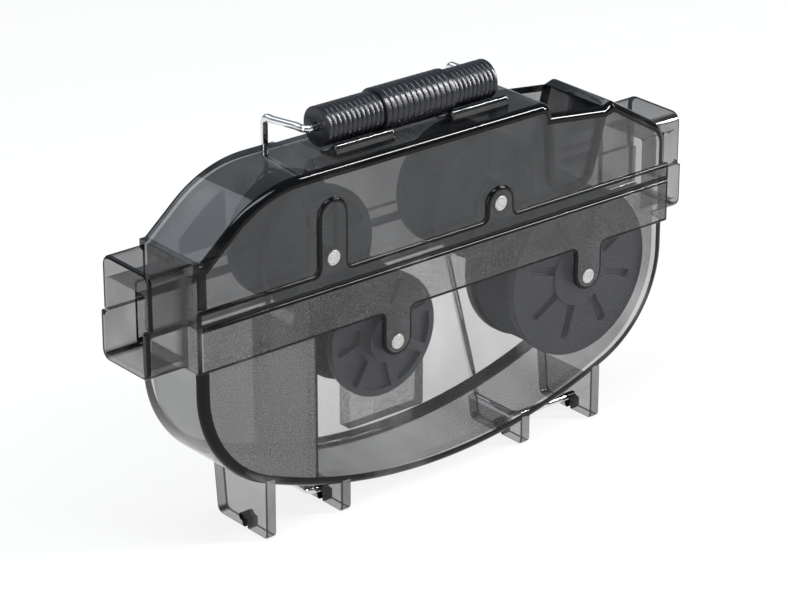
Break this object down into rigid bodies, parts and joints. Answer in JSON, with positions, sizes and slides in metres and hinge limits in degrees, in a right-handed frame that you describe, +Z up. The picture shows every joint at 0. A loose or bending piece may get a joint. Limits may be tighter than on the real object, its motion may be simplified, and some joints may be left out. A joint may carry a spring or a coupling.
{
  "type": "bicycle chain cleaner",
  "caption": "Clear smoke-grey clip-on chain cleaner: lidded fluid tank with brush and sponge wheels, chain ports at both ends, feet, and a wire bail with a ribbed grip.",
  "frame": {"origin": "centre of the whole length and depth, bail at rest, at the plane that the feet stand on", "axes": "+X along the length towards the end with the fill pocket, +Y from the front face to the back, +Z up"},
  "size_m": [0.1944, 0.0317, 0.118],
  "materials": {
    "smoke_plastic": "glossy smoke-grey transparent moulding",
    "chrome_wire": "bright chrome-plated wire",
    "grip_plastic": "black ribbed satin plastic",
    "pin_steel": "bright speckled pin end",
    "wheel_plastic": "dark grey moulded plastic",
    "bristle": "dark nylon bristle tufts",
    "sponge": "dark open-cell sponge"
  },
  "bodies": {
    "tank": {"tank_shell": "smoke_plastic", "lower_left_axle": "pin_steel", "lower_right_axle": "pin_steel"},
    "lid": {"lid_shell": "smoke_plastic", "upper_left_axle": "pin_steel", "upper_right_axle": "pin_steel"},
    "bail": {"bail_wire": "chrome_wire"},
    "grip": {"grip_left_sleeve": "grip_plastic", "grip_collar": "grip_plastic", "grip_right_sleeve": "grip_plastic"},
    "upper_left_wheel": {"upper_left_front_disc": "wheel_plastic", "upper_left_rear_disc": "wheel_plastic", "upper_left_brush": "bristle"},
    "upper_right_wheel": {"upper_right_front_disc": "wheel_plastic", "upper_right_rear_disc": "wheel_plastic", "upper_right_brush": "bristle"},
    "lower_left_wheel": {"lower_left_front_disc": "wheel_plastic", "lower_left_rear_disc": "wheel_plastic", "lower_left_brush": "bristle"},
    "lower_right_wheel": {"lower_right_front_disc": "wheel_plastic", "lower_right_rear_disc": "wheel_plastic", "lower_right_sponge": "sponge"}
  },
  "joints": [
    {"name": "bail_swing", "type": "hinge", "parent": "tank", "child": "bail", "pos_m": [-0.0396, -0.0035, 0.003], "axis": [-1, 0, 0], "range_deg": [0, 180]},
    {"name": "lid_lift", "type": "slide", "parent": "tank", "child": "lid", "axis": [0, 0, 1], "range_m": [0, 0.0141]},
    {"name": "grip_spin", "type": "hinge", "parent": "bail", "child": "grip", "pos_m": [0, -0.0035, 0.1116], "axis": [1, 0, 0], "continuous": true},
    {"name": "upper_left_wheel_spin", "type": "hinge", "parent": "lid", "child": "upper_left_wheel", "pos_m": [-0.0398, -0.001, 0.0784], "axis": [0, 1, 0], "continuous": true},
    {"name": "upper_right_wheel_spin", "type": "hinge", "parent": "lid", "child": "upper_right_wheel", "pos_m": [0.0201, -0.001, 0.0788], "axis": [0, 1, 0], "continuous": true},
    {"name": "lower_left_wheel_spin", "type": "hinge", "parent": "tank", "child": "lower_left_wheel", "pos_m": [-0.0174, -0.001, 0.0471], "axis": [0, 1, 0], "continuous": true},
    {"name": "lower_right_wheel_spin", "type": "hinge", "parent": "tank", "child": "lower_right_wheel", "pos_m": [0.0543, -0.001, 0.0472], "axis": [0, 1, 0], "continuous": true}
  ],
  "couplings": [
    {"joint": "lid_lift", "follows": "bail_swing", "m_per_rad": 0.004456}
  ]
}
